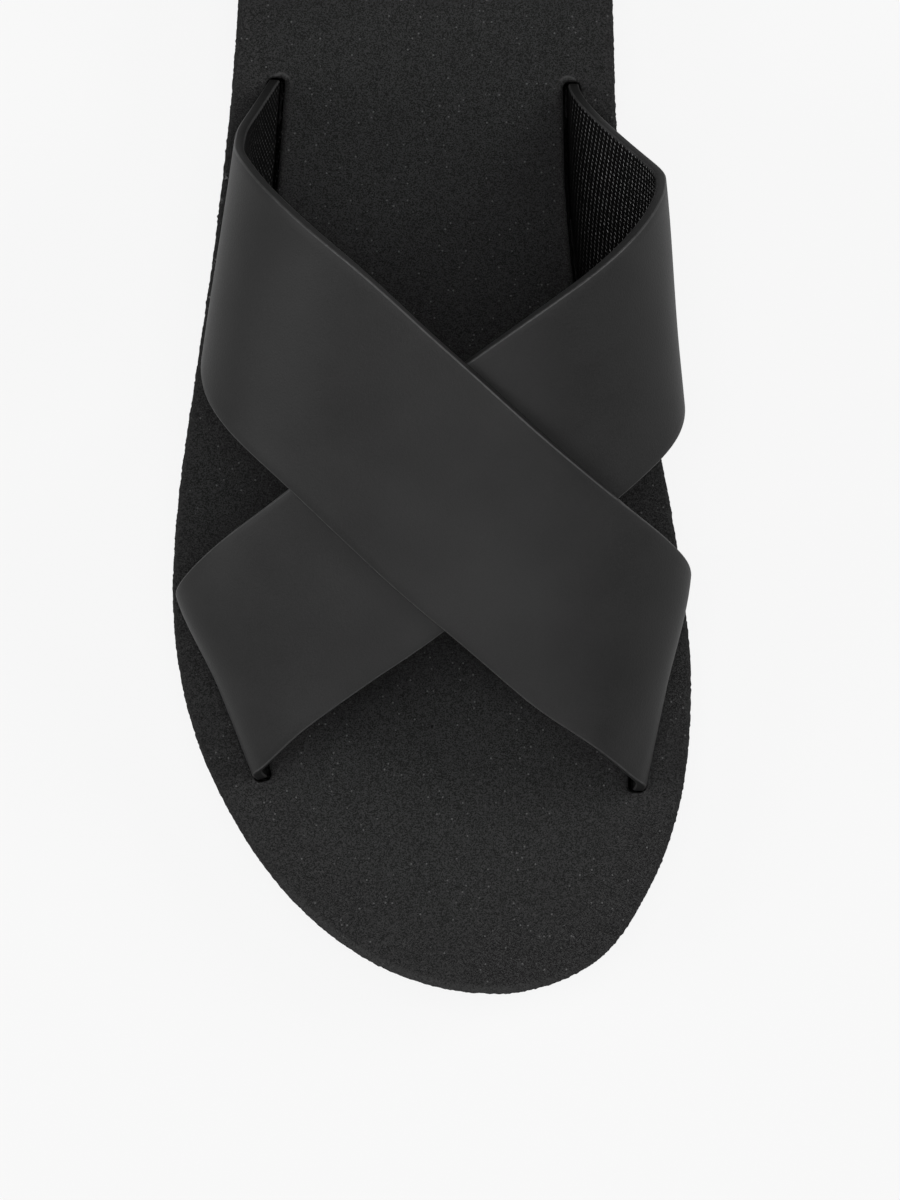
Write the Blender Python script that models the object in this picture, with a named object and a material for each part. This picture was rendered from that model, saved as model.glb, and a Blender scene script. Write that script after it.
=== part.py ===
"""Cross strap sandal, right foot: outsole, footbed and a crossed pair of straps.

X runs across the foot with the big toe side at +X, the heel is at +Y, the toe at -Y and the floor is Z = 0.
"""

import math

import bmesh
import bpy
import numpy as np

# Sizes in metres
SOLE_LENGTH = 0.264
BALL_WIDTH = 0.098
HEEL_THICKNESS = 0.022
FOREFOOT_THICKNESS = 0.0155
TOE_THICKNESS = 0.0135
OUTSOLE_THICKNESS = 0.0032
TOE_SPRING = 0.006
HEEL_BEVEL = 0.0018
ARCH_HOLLOW = 0.0016
HEEL_CUP = 0.0012
INSTEP_HEIGHT = 0.066
STRAP_THICKNESS = 0.002
STRAP_EDGE_ROUND = 0.00045
JOIN_BITE = 0.0003
SLOT_INNER_GAP = 0.0010
SLOT_OUTER_GAP = 0.0004
SLOT_REAR_ROOM = 0.0010
SLOT_FRONT_ROOM = 0.0006
SLOT_CORNER = 0.0009
SLOT_LIP = 0.0012
TAB_LENGTH = 0.009
FIT_GAP = 0.0003
TOP_EDGE_ROUND = 0.0015
TREAD_EDGE_ROUND = 0.0012
# Height and inset of the middle step of a rounded edge, as a share of its radius
ROUND_MIDDLE = 0.3

# Where along the foot the sole changes, as shares of its length from the heel
HEEL_BEVEL_END = 0.06
THICKNESS_FALL = (0.20, 0.66)
ARCH_SPAN = (0.27, 0.60)
TOE_SPRING_START = 0.80
TOE_THIN_START = 0.86
CUP_FADE = (0.22, 0.50)

# Outline of the sole: station along the foot, then the two sides as shares of the ball width
OUTLINE_COLUMNS = ("station", "lateral", "medial")
OUTLINE = (
    (0.000, 0.000, 0.000),
    (0.020, 0.205, 0.203),
    (0.060, 0.310, 0.305),
    (0.125, 0.362, 0.352),
    (0.240, 0.368, 0.346),
    (0.346, 0.385, 0.351),
    (0.461, 0.419, 0.369),
    (0.575, 0.464, 0.417),
    (0.646, 0.490, 0.457),
    (0.704, 0.501, 0.480),
    (0.761, 0.492, 0.497),
    (0.818, 0.455, 0.495),
    (0.875, 0.385, 0.470),
    (0.932, 0.273, 0.408),
    (0.975, 0.130, 0.321),
    (1.000, -0.120, 0.120),
)

# Arch under which the foot goes, one row for each section across the foot. Slot lines and bulges are
# shares of the ball width from the middle, heights are shares of the instep height above the footbed.
# Lean is how steeply a strap goes outwards as it leaves its slot: 0 is upright, 1 straight to the bulge.
ARCH_COLUMNS = (
    "station",
    "lateral_slot",
    "lateral_lean",
    "lateral_bulge",
    "lateral_bulge_height",
    "crown",
    "crown_height",
    "medial_bulge_height",
    "medial_bulge",
    "medial_lean",
    "medial_slot",
)
ARCH = (
    (0.346, 0.304, 1.50, 0.360, 0.333, 0.045, 1.121, 0.409, 0.423, 0.10, 0.271),
    (0.432, 0.322, 1.50, 0.394, 0.333, 0.049, 1.000, 0.409, 0.450, 0.45, 0.277),
    (0.525, 0.354, 1.40, 0.434, 0.303, 0.053, 0.848, 0.364, 0.469, 0.90, 0.304),
    (0.618, 0.384, 1.30, 0.469, 0.258, 0.057, 0.682, 0.303, 0.492, 1.00, 0.346),
    (0.704, 0.404, 1.30, 0.500, 0.197, 0.057, 0.523, 0.227, 0.496, 1.20, 0.386),
    (0.782, 0.375, 1.25, 0.411, 0.136, 0.053, 0.394, 0.152, 0.450, 1.25, 0.406),
    (0.856, 0.322, 1.20, 0.334, 0.076, 0.049, 0.288, 0.076, 0.409, 1.20, 0.397),
)
ARCH_ROUNDNESS = 2.15
# Half of the heel cup, as a share of the ball width
CUP_REACH = 0.36

# Rear and front edge of each strap as stations along the foot, one row for each share of the arch
# from the lateral slot over the instep to the medial slot
STRAP_COLUMNS = ("across", "over_rear", "over_front", "under_rear", "under_front")
STRAPS = (
    (0.000, 0.346, 0.508, 0.720, 0.845),
    (0.063, 0.371, 0.526, 0.718, 0.843),
    (0.125, 0.388, 0.545, 0.711, 0.838),
    (0.250, 0.414, 0.604, 0.666, 0.810),
    (0.375, 0.472, 0.669, 0.612, 0.779),
    (0.500, 0.545, 0.734, 0.558, 0.743),
    (0.625, 0.611, 0.786, 0.499, 0.691),
    (0.750, 0.663, 0.819, 0.441, 0.624),
    (0.875, 0.701, 0.846, 0.404, 0.564),
    (0.938, 0.711, 0.850, 0.378, 0.537),
    (1.000, 0.718, 0.852, 0.349, 0.511),
)
# Reach of a strap along the foot from edge to edge, as a share of the sole, for its rounded corners
STRAP_REACH = 0.18
# Shares of the arch over which the over strap climbs onto the under strap and comes down again
CLIMB = (0.12, 0.28)
DESCENT = (0.74, 0.88)

# Steps in the curved faces
SOLE_STEPS = 56
CAP_STEPS = 6
SECTION_STEPS = 60
STRAP_STEPS = 52
STRAP_COLUMNS_ACROSS = 6
BEND_STEPS = 4
SLOT_WALL_SHARES = (0.75, 0.35, 0.0)
TAB_SHARES = (0.5, 1.0)
SLOT_STEPS = 8
SLOT_CORNER_STEPS = 3

# Step along the foot over which a slot's direction is taken
SLOPE_STEP = 0.002

LATERAL = -1.0
MEDIAL = 1.0


def column(table, names, name):
    return np.array([row[names.index(name)] for row in table])


def smooth_curve(knots, values, at):
    """Curve through a table's rows, with the slope at a row taken from its two neighbours."""
    spans = np.diff(values) / np.diff(knots)
    slopes = np.concatenate([spans[:1], (spans[:-1] + spans[1:]) / 2.0, spans[-1:]])
    at = np.clip(at, knots[0], knots[-1])
    row = np.clip(np.searchsorted(knots, at) - 1, 0, len(knots) - 2)
    step = knots[row + 1] - knots[row]
    s = (at - knots[row]) / step
    start = values[row] * (1 + 2 * s) * (1 - s) ** 2 + slopes[row] * step * s * (1 - s) ** 2
    end = values[row + 1] * s * s * (3 - 2 * s) + slopes[row + 1] * step * s * s * (s - 1)
    return start + end


def ease(value, start, end):
    share = np.clip((value - start) / (end - start), 0.0, 1.0)
    return share * share * (3.0 - 2.0 * share)


def y_at(station):
    return (0.5 - station) * SOLE_LENGTH


def station_at(y):
    return 0.5 - y / SOLE_LENGTH


# Heights of the sole's layers


def spring(station):
    toe = TOE_SPRING * np.clip((station - TOE_SPRING_START) / (1.0 - TOE_SPRING_START), 0.0, 1.0) ** 2
    heel = HEEL_BEVEL * np.clip((HEEL_BEVEL_END - station) / HEEL_BEVEL_END, 0.0, 1.0) ** 2
    return toe + heel


def tread_height(x, y):
    station = station_at(y)
    middle = 0.5 * (ARCH_SPAN[0] + ARCH_SPAN[1])
    rise = ease(station, ARCH_SPAN[0], middle) * (1.0 - ease(station, middle, ARCH_SPAN[1]))
    return spring(station) + ARCH_HOLLOW * rise


def outsole_top(x, y):
    return tread_height(x, y) + OUTSOLE_THICKNESS


def footbed_base(x, y):
    return outsole_top(x, y) + FIT_GAP


def footbed_top(x, y):
    station = station_at(y)
    thickness = HEEL_THICKNESS + (FOREFOOT_THICKNESS - HEEL_THICKNESS) * ease(station, *THICKNESS_FALL)
    thickness = thickness + (TOE_THICKNESS - FOREFOOT_THICKNESS) * ease(station, TOE_THIN_START, 1.0)
    across = np.clip(np.abs(x) / (CUP_REACH * BALL_WIDTH), 0.0, 1.0)
    cup = HEEL_CUP * across**2 * (1.0 - ease(station, *CUP_FADE))
    return spring(station) + thickness + cup


# Sole outline


def outline_ring(inset=0.0):
    """Points round the sole: heel to toe on the lateral side, then back to the heel on the medial side."""
    turn = np.linspace(0.0, math.pi, SOLE_STEPS + 1)
    stations = (1.0 - np.cos(turn)) / 2.0
    knots = np.arccos(1.0 - 2.0 * column(OUTLINE, OUTLINE_COLUMNS, "station"))
    lateral = smooth_curve(knots, column(OUTLINE, OUTLINE_COLUMNS, "lateral"), turn) * BALL_WIDTH
    medial = smooth_curve(knots, column(OUTLINE, OUTLINE_COLUMNS, "medial"), turn) * BALL_WIDTH
    y = y_at(stations)
    down = np.stack([-lateral, y], axis=1)
    back = np.stack([medial, y], axis=1)[::-1][1:-1]
    ring = np.concatenate([down, back])
    along = np.roll(ring, -1, axis=0) - np.roll(ring, 1, axis=0)
    along /= np.linalg.norm(along, axis=1)[:, None]
    inward = np.stack([-along[:, 1], along[:, 0]], axis=1)
    return ring + inset * inward


def add_object(name, bm):
    bmesh.ops.remove_doubles(bm, verts=bm.verts, dist=1e-6)
    bmesh.ops.recalc_face_normals(bm, faces=bm.faces)
    for face in bm.faces:
        face.smooth = True
    for edge in bm.edges:
        edge.smooth = len(edge.link_faces) == 2 and edge.calc_face_angle(0.0) < math.radians(35.0)
    mesh = bpy.data.meshes.new(name)
    bm.to_mesh(mesh)
    bm.free()
    obj = bpy.data.objects.new(name, mesh)
    bpy.context.scene.collection.objects.link(obj)
    return obj


def join_rings(bm, first, second):
    count = len(first)
    for i in range(count):
        j = (i + 1) % count
        bm.faces.new((first[i], first[j], second[j], second[i]))


def cap(bm, ring, height):
    """Closes a ring of the sole with rows of faces from one side across to the other."""
    rows = []
    for i in range(1, SOLE_STEPS):
        left = ring[i]
        right = ring[2 * SOLE_STEPS - i]
        row = [left]
        for k in range(1, CAP_STEPS):
            point = left.co.lerp(right.co, k / CAP_STEPS)
            point.z = float(height(point.x, point.y))
            row.append(bm.verts.new(point))
        row.append(right)
        rows.append(row)
    for first, second in zip(rows, rows[1:]):
        for k in range(CAP_STEPS):
            bm.faces.new((first[k], first[k + 1], second[k + 1], second[k]))
    for tip, row in ((ring[0], rows[0]), (ring[SOLE_STEPS], rows[-1])):
        for k in range(CAP_STEPS):
            bm.faces.new((tip, row[k], row[k + 1]))


def sole_layer(name, levels, base, top):
    """A layer of the sole. Each level is an inset from the outline and a height function."""
    bm = bmesh.new()
    rings = []
    for inset, height in levels:
        ring = outline_ring(inset)
        z = height(ring[:, 0], ring[:, 1])
        rings.append([bm.verts.new((x, y, h)) for (x, y), h in zip(ring, z)])
    for first, second in zip(rings, rings[1:]):
        join_rings(bm, first, second)
    cap(bm, rings[0], base)
    cap(bm, rings[-1], top)
    return add_object(name, bm)


def lowered(height, drop):
    return lambda x, y: height(x, y) - drop


# Arch over the foot


def arch_column(name, station):
    knots = column(ARCH, ARCH_COLUMNS, "station")
    return float(smooth_curve(knots, column(ARCH, ARCH_COLUMNS, name), station))


def slot_x(side, station):
    name = "lateral_slot" if side == LATERAL else "medial_slot"
    return side * arch_column(name, station) * BALL_WIDTH


def arch_side(side, station):
    """Outer face of the strap on one side, from the footbed up over the bulge to the crown."""
    word = "lateral" if side == LATERAL else "medial"
    foot = side * (abs(slot_x(side, station)) + STRAP_THICKNESS / 2.0)
    bulge = side * arch_column(word + "_bulge", station) * BALL_WIDTH
    bulge_height = arch_column(word + "_bulge_height", station) * INSTEP_HEIGHT
    crown = arch_column("crown", station) * BALL_WIDTH
    crown_height = arch_column("crown_height", station) * INSTEP_HEIGHT
    floor = float(footbed_top(foot, y_at(station)))
    lean = arch_column(word + "_lean", station)
    rise = np.linspace(0.0, 1.0, SECTION_STEPS // 2)
    outward = ease(rise, 0.0, 1.0) + lean * rise * (1.0 - rise) ** 2
    low = np.stack([foot + (bulge - foot) * outward, floor + bulge_height * rise], axis=1)
    turn = np.linspace(0.0, math.pi / 2.0, SECTION_STEPS)[1:]
    power = 2.0 / ARCH_ROUNDNESS
    over = crown + (bulge - crown) * np.clip(np.cos(turn), 0.0, 1.0) ** power
    up = floor + bulge_height + (crown_height - bulge_height) * np.sin(turn) ** power
    return np.concatenate([low, np.stack([over, up], axis=1)])


def arch_section(station):
    lateral = arch_side(LATERAL, station)
    medial = arch_side(MEDIAL, station)
    line = np.concatenate([lateral, medial[::-1][1:]])
    lengths = np.linalg.norm(np.diff(line, axis=0), axis=1)
    shares = np.concatenate([[0.0], np.cumsum(lengths)])
    return line, shares / shares[-1]


def arch_point(across, station):
    line, shares = arch_section(station)
    x = np.interp(across, shares, line[:, 0])
    z = np.interp(across, shares, line[:, 1])
    return (x, float(y_at(station)), z)


def below_footbed(side, station):
    """Outer face of a strap end: down the slot, round the bend and in under the footbed."""
    outer = slot_x(side, station) + side * STRAP_THICKNESS / 2.0
    y = float(y_at(station))
    floor = float(footbed_base(outer, y))
    radius = STRAP_THICKNESS + FIT_GAP
    top = float(footbed_top(outer, y))
    points = [(outer, y, floor + radius + (top - floor - radius) * share) for share in SLOT_WALL_SHARES]
    for step in range(1, BEND_STEPS + 1):
        angle = 0.5 * math.pi * step / BEND_STEPS
        x = outer - side * radius * (1.0 - math.cos(angle))
        points.append((x, y, floor + radius * (1.0 - math.sin(angle))))
    for share in TAB_SHARES:
        x = outer - side * (radius + share * (TAB_LENGTH - radius))
        points.append((x, y, floor))
    return points


# Straps


def edge_station(name, across):
    knots = column(STRAPS, STRAP_COLUMNS, "across")
    return float(smooth_curve(knots, column(STRAPS, STRAP_COLUMNS, name), across))


def strap_grid(word, lift):
    """Outer face of a strap: rows along it from one slot to the other, columns from rear to front edge."""
    round_share = STRAP_EDGE_ROUND / (STRAP_REACH * SOLE_LENGTH)
    inner = [k / STRAP_COLUMNS_ACROSS for k in range(1, STRAP_COLUMNS_ACROSS)]
    columns = [0.0, round_share] + inner + [1.0 - round_share, 1.0]
    rows = []
    for across in np.linspace(0.0, 1.0, STRAP_STEPS + 1):
        rear = edge_station(word + "_rear", across)
        front = edge_station(word + "_front", across)
        rows.append([arch_point(across, rear + (front - rear) * c) for c in columns])
    ends = []
    for side, across in ((LATERAL, 0.0), (MEDIAL, 1.0)):
        rear = edge_station(word + "_rear", across)
        front = edge_station(word + "_front", across)
        lines = [below_footbed(side, rear + (front - rear) * c) for c in columns]
        ends.append([list(points) for points in zip(*lines)])
    grid = np.array(ends[0][::-1] + rows + ends[1])
    normals = np.cross(np.gradient(grid, axis=0), np.gradient(grid, axis=1))
    normals /= np.linalg.norm(normals, axis=2)[:, :, None]
    crown = len(grid) // 2
    if normals[crown, 0, 2] < 0.0:
        normals = -normals
    shares = np.linspace(0.0, 1.0, STRAP_STEPS + 1)
    raised = lift * ease(shares, *CLIMB) * (1.0 - ease(shares, *DESCENT))
    pad = len(ends[0])
    raised = np.concatenate([np.zeros(pad), raised, np.zeros(pad)])
    return grid + normals * raised[:, None, None], normals


def strap(name, word, lift):
    grid, normals = strap_grid(word, lift)
    last = grid.shape[1] - 1
    flat = list(range(1, last))
    depths = [(j, 0.0) for j in flat]
    depths += [(last, STRAP_EDGE_ROUND), (last, STRAP_THICKNESS - STRAP_EDGE_ROUND)]
    depths += [(j, STRAP_THICKNESS) for j in reversed(flat)]
    depths += [(0, STRAP_THICKNESS - STRAP_EDGE_ROUND), (0, STRAP_EDGE_ROUND)]
    bm = bmesh.new()
    rings = []
    for points, outward in zip(grid, normals):
        rings.append([bm.verts.new(points[j] - outward[j] * depth) for j, depth in depths])
    for first, second in zip(rings, rings[1:]):
        join_rings(bm, first, second)
    for ring in (rings[0], rings[-1]):
        close_strap_end(bm, ring, len(flat))
    return add_object(name, bm)


def close_strap_end(bm, ring, count):
    """Closes the cut end of a strap between its outer and inner face."""
    outer = ring[:count]
    inner = ring[count + 2 : 2 * count + 2][::-1]
    for k in range(count - 1):
        bm.faces.new((outer[k], outer[k + 1], inner[k + 1], inner[k]))
    bm.faces.new((outer[-1], ring[count], ring[count + 1], inner[-1]))
    bm.faces.new((inner[0], ring[-2], ring[-1], outer[0]))


# Slots and the pockets for the strap ends


def strap_end(word, side):
    across = 0.0 if side == LATERAL else 1.0
    return edge_station(word + "_rear", across), edge_station(word + "_front", across)


def slot_cutter(name, word, side):
    """A slot round the strap's end, with rounded corners and opening into a lip at the top."""
    rear, front = strap_end(word, side)
    outer = STRAP_THICKNESS / 2.0 + SLOT_OUTER_GAP - SLOT_CORNER
    inner = STRAP_THICKNESS / 2.0 + SLOT_INNER_GAP - SLOT_CORNER
    first = rear + (SLOT_CORNER - SLOT_REAR_ROOM) / SOLE_LENGTH
    last = front - (SLOT_CORNER - SLOT_FRONT_ROOM) / SOLE_LENGTH
    corners = ((outer, last), (-inner, last), (-inner, first), (outer, first))

    def ring(grow):
        radius = SLOT_CORNER + grow
        points = []
        for quarter, (out, station) in enumerate(corners):
            for step in range(SLOT_CORNER_STEPS + 1):
                angle = 0.5 * math.pi * (quarter + step / SLOT_CORNER_STEPS)
                along = station + radius * math.sin(angle) / SOLE_LENGTH
                points.append(beside_slot(side, along, out + radius * math.cos(angle)))
            if quarter % 2 == 1:
                target = corners[(quarter + 1) % 4][1]
                edge = out + radius * math.cos(0.5 * math.pi * (quarter + 1))
                for step in range(1, SLOT_STEPS):
                    along = station + (target - station) * step / SLOT_STEPS
                    points.append(beside_slot(side, along, edge))
        return points

    bm = bmesh.new()
    rings = []
    middle = ROUND_MIDDLE * SLOT_LIP
    levels = ((0.0, lowered(footbed_base, SLOT_LIP)), (0.0, lowered(footbed_top, SLOT_LIP)))
    levels += ((middle, lowered(footbed_top, middle)), (SLOT_LIP, footbed_top))
    levels += ((2.0 * SLOT_LIP, lowered(footbed_top, -middle)),)
    for grow, height in levels:
        rings.append([bm.verts.new((p[0], p[1], float(height(p[0], p[1])))) for p in ring(grow)])
    for first_ring, second_ring in zip(rings, rings[1:]):
        join_rings(bm, first_ring, second_ring)
    close_slot_end(bm, rings[0])
    close_slot_end(bm, rings[-1])
    return hidden(add_object(name, bm))


def beside_slot(side, station, out):
    """A point beside the middle line of a slot, a distance outwards from it."""
    ahead = station + SLOPE_STEP
    behind = station - SLOPE_STEP
    along = np.array([slot_x(side, ahead) - slot_x(side, behind), y_at(ahead) - y_at(behind)])
    along /= np.linalg.norm(along)
    return np.array([slot_x(side, station), y_at(station)]) + side * out * np.array([-along[1], along[0]])


def close_slot_end(bm, ring):
    """Closes a slot's ring with faces between its two long sides and one face at each end."""
    turns = 2 * (SLOT_CORNER_STEPS + 1)
    half = turns + SLOT_STEPS - 1
    inner = ring[turns - 1 : half + 1]
    outer = [ring[0]] + ring[half + turns - 1 :][::-1]
    for i in range(SLOT_STEPS):
        bm.faces.new((inner[i], inner[i + 1], outer[i + 1], outer[i]))
    bm.faces.new(ring[:turns])
    bm.faces.new(ring[half : half + turns])


def pocket_cutter(name, word, side):
    """The shallow pocket under the footbed that takes a strap end turned in from its slot."""
    rear, front = strap_end(word, side)
    room = FIT_GAP * 2.0 / SOLE_LENGTH
    outer = STRAP_THICKNESS / 2.0 + FIT_GAP
    inner = TAB_LENGTH - STRAP_THICKNESS / 2.0 + 2.0 * FIT_GAP
    depth = STRAP_THICKNESS + 2.0 * FIT_GAP
    bm = bmesh.new()
    rings = []
    for station in np.linspace(rear - room, front + room, SLOT_STEPS):
        middle = slot_x(side, station)
        y = float(y_at(station))
        base = float(footbed_base(middle, y))
        corners = ((outer, -depth), (outer, depth), (-inner, depth), (-inner, -depth))
        rings.append([bm.verts.new((middle + side * x, y, base + z)) for x, z in corners])
    for first, second in zip(rings, rings[1:]):
        join_rings(bm, first, second)
    bm.faces.new(rings[0])
    bm.faces.new(reversed(rings[-1]))
    return hidden(add_object(name, bm))


def hidden(obj):
    obj.hide_render = True
    obj.display_type = "WIRE"
    return obj


def combine(obj, other, operation):
    modifier = obj.modifiers.new(other.name, "BOOLEAN")
    modifier.operation = operation
    modifier.solver = "EXACT"
    modifier.object = other


def paint(obj, name, colour, roughness):
    material = bpy.data.materials.new(name)
    material.use_nodes = True
    shader = material.node_tree.nodes["Principled BSDF"]
    shader.inputs["Base Color"].default_value = (*colour, 1.0)
    shader.inputs["Roughness"].default_value = roughness
    shader.inputs["Metallic"].default_value = 0.0
    obj.data.materials.append(material)


def build_outsole():
    edge = TREAD_EDGE_ROUND
    levels = (
        (edge, tread_height),
        (ROUND_MIDDLE * edge, lowered(tread_height, -ROUND_MIDDLE * edge)),
        (0.0, lowered(tread_height, -edge)),
        (0.0, outsole_top),
    )
    outsole = sole_layer("outsole", levels, tread_height, outsole_top)
    paint(outsole, "outsole_rubber", (0.018, 0.018, 0.019), 0.75)


def build_footbed():
    edge = TOP_EDGE_ROUND
    levels = (
        (0.0, footbed_base),
        (0.0, lowered(footbed_top, edge)),
        (ROUND_MIDDLE * edge, lowered(footbed_top, ROUND_MIDDLE * edge)),
        (edge, footbed_top),
    )
    footbed = sole_layer("footbed", levels, footbed_base, footbed_top)
    paint(footbed, "footbed_foam", (0.016, 0.016, 0.017), 0.9)
    for word in ("over", "under"):
        for side, where in ((LATERAL, "lateral"), (MEDIAL, "medial")):
            pocket = pocket_cutter(word + "_" + where + "_pocket", word, side)
            combine(footbed, pocket, "DIFFERENCE")
            slot = slot_cutter(word + "_" + where + "_slot", word, side)
            combine(footbed, slot, "DIFFERENCE")


def build_upper():
    upper = strap("upper", "over", STRAP_THICKNESS - JOIN_BITE)
    paint(upper, "strap_skin", (0.045, 0.045, 0.047), 0.5)
    under = hidden(strap("under_strap", "under", 0.0))
    combine(upper, under, "UNION")


for old in list(bpy.data.objects):
    bpy.data.objects.remove(old, do_unlink=True)

build_outsole()
build_footbed()
build_upper()
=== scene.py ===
import bmesh
import bpy
import math
import numpy as np
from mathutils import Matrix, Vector, noise


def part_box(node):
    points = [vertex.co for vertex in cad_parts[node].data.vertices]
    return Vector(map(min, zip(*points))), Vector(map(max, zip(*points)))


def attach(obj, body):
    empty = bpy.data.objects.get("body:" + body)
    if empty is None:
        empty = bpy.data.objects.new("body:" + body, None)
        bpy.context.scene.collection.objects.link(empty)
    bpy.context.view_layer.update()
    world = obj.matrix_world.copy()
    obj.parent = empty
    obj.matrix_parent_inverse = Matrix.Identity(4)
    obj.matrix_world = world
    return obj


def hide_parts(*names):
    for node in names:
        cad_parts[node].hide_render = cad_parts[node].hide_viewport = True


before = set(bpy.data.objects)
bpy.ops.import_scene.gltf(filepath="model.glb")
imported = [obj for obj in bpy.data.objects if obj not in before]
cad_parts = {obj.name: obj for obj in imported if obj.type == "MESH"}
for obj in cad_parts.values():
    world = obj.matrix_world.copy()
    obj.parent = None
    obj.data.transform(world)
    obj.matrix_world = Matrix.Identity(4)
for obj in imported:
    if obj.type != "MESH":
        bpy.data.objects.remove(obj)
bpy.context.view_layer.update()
soleLow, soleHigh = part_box("footbed")
print("frame loaded")

# the shoe's own sizes, shared by all its pieces; shares of the length run from heel to toe
shoe = {
    "length": soleHigh[1] - soleLow[1],
    "ballWidth": 0.098,
    "heelThick": 0.022,
    "foreThick": 0.0155,
    "toeThick": 0.0135,
    "outsoleThick": 0.0032,
    "cementGap": 0.0003,
    "toeSpring": 0.006,
    "heelBevel": 0.0018,
    "archHollow": 0.0016,
    "heelCup": 0.0012,
    "thickFall": (0.20, 0.66),
    "archSpan": (0.27, 0.60),
    "springStart": 0.80,
    "thinStart": 0.86,
    "bevelEnd": 0.06,
    "cupFade": (0.22, 0.50),
    "cupReach": 0.36,
    "turnSteps": 400,
    # station, lateral side, medial side
    "outline": (
        (0.000, 0.000, 0.000),
        (0.020, 0.205, 0.203),
        (0.060, 0.310, 0.305),
        (0.125, 0.362, 0.352),
        (0.240, 0.368, 0.346),
        (0.346, 0.385, 0.351),
        (0.461, 0.419, 0.369),
        (0.575, 0.464, 0.417),
        (0.646, 0.490, 0.457),
        (0.704, 0.501, 0.480),
        (0.761, 0.492, 0.497),
        (0.818, 0.455, 0.495),
        (0.875, 0.385, 0.470),
        (0.932, 0.273, 0.408),
        (0.975, 0.130, 0.321),
        (1.000, -0.120, 0.120),
    ),
}
meshing = {"weld": 1e-6, "smoothAngle": 40}


def curveThrough(knots, values, at):
    knots, values = np.array(knots), np.array(values)
    spans = np.diff(values) / np.diff(knots)
    slopes = np.concatenate([spans[:1], (spans[:-1] + spans[1:]) / 2, spans[-1:]])
    at = np.clip(at, knots[0], knots[-1])
    row = np.clip(np.searchsorted(knots, at) - 1, 0, len(knots) - 2)
    step = knots[row + 1] - knots[row]
    s = (at - knots[row]) / step
    start = values[row] * (1 + 2 * s) * (1 - s) ** 2 + slopes[row] * step * s * (1 - s) ** 2
    return start + values[row + 1] * s * s * (3 - 2 * s) + slopes[row + 1] * step * s * s * (s - 1)


def easeBetween(value, start, end):
    s = min(1.0, max(0.0, (value - start) / (end - start)))
    return s * s * (3 - 2 * s)


def yAt(station):
    return (0.5 - station) * shoe["length"]


def stationAt(y):
    return 0.5 - y / shoe["length"]


def springAt(station):
    toe = max(0.0, (station - shoe["springStart"]) / (1 - shoe["springStart"]))
    heel = max(0.0, (shoe["bevelEnd"] - station) / shoe["bevelEnd"])
    return shoe["toeSpring"] * toe ** 2 + shoe["heelBevel"] * heel ** 2


def treadZ(y):
    station = stationAt(y)
    start, end = shoe["archSpan"]
    middle = (start + end) / 2
    rise = easeBetween(station, start, middle) * (1 - easeBetween(station, middle, end))
    return springAt(station) + shoe["archHollow"] * rise


def footbedBaseZ(y):
    return treadZ(y) + shoe["outsoleThick"] + shoe["cementGap"]


def footbedTopZ(x, y):
    station = stationAt(y)
    thick = shoe["heelThick"]
    thick += (shoe["foreThick"] - shoe["heelThick"]) * easeBetween(station, *shoe["thickFall"])
    thick += (shoe["toeThick"] - shoe["foreThick"]) * easeBetween(station, shoe["thinStart"], 1)
    across = min(1.0, abs(x) / (shoe["cupReach"] * shoe["ballWidth"]))
    cup = shoe["heelCup"] * across ** 2 * (1 - easeBetween(station, *shoe["cupFade"]))
    return springAt(station) + thick + cup


def outlinePoint(turn):    # turn goes once round the sole: 0 at the heel, half way at the toe
    half = turn if turn <= math.pi else 2 * math.pi - turn
    knots = [math.acos(1 - 2 * row[0]) for row in shoe["outline"]]
    side = 1 if turn <= math.pi else 2
    share = float(curveThrough(knots, [row[side] for row in shoe["outline"]], half))
    x = (-share if side == 1 else share) * shoe["ballWidth"]
    return Vector((x, yAt((1 - math.cos(half)) / 2), 0))


def outlineInset(turn, inset):
    step, whole = 0.01, 2 * math.pi
    along = outlinePoint((turn + step) % whole) - outlinePoint((turn - step) % whole)
    along.normalize()
    return outlinePoint(turn) + Vector((-along.y, along.x, 0)) * inset


def evenTurns(rows):    # turns from heel to toe that are evenly spaced along the side of the sole
    turns = np.linspace(0, math.pi, shoe["turnSteps"])
    points = [outlinePoint(turn) for turn in turns]
    steps = [0.0] + [(b - a).length for a, b in zip(points, points[1:])]
    way = np.cumsum(steps)
    return np.interp(np.linspace(0, way[-1], rows + 1), way, turns)


def soleSlab(levels, rows, columns):
    # a flat slab of the sole's outline, extruded level by level; each level is an inset and a height
    bm = bmesh.new()
    bmesh.ops.create_grid(bm, x_segments=columns, y_segments=rows, size=0.5)
    across = bm.verts.layers.float.new("across")
    along = bm.verts.layers.float.new("along")
    for vert in bm.verts:
        vert[across], vert[along] = vert.co.x + 0.5, (vert.co.y + 0.5) * rows
    turns = evenTurns(rows)
    faces = bm.faces[:]
    for number, (inset, z) in enumerate(levels):
        if number:
            made = bmesh.ops.extrude_face_region(bm, geom=faces, use_keep_orig=True)
            if number > 1:
                bmesh.ops.delete(bm, geom=faces, context="FACES")
            faces = [item for item in made["geom"] if isinstance(item, bmesh.types.BMFace)]
        lateral = [outlineInset(turn, inset) for turn in turns]
        medial = [outlineInset((2 * math.pi - turn) % (2 * math.pi), inset) for turn in turns]
        for vert in {vert for face in faces for vert in face.verts}:
            row = round(vert[along])
            vert.co = lateral[row].lerp(medial[row], vert[across])
            vert.co.z = z
    bmesh.ops.remove_doubles(bm, verts=bm.verts, dist=meshing["weld"])
    return bm


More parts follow.
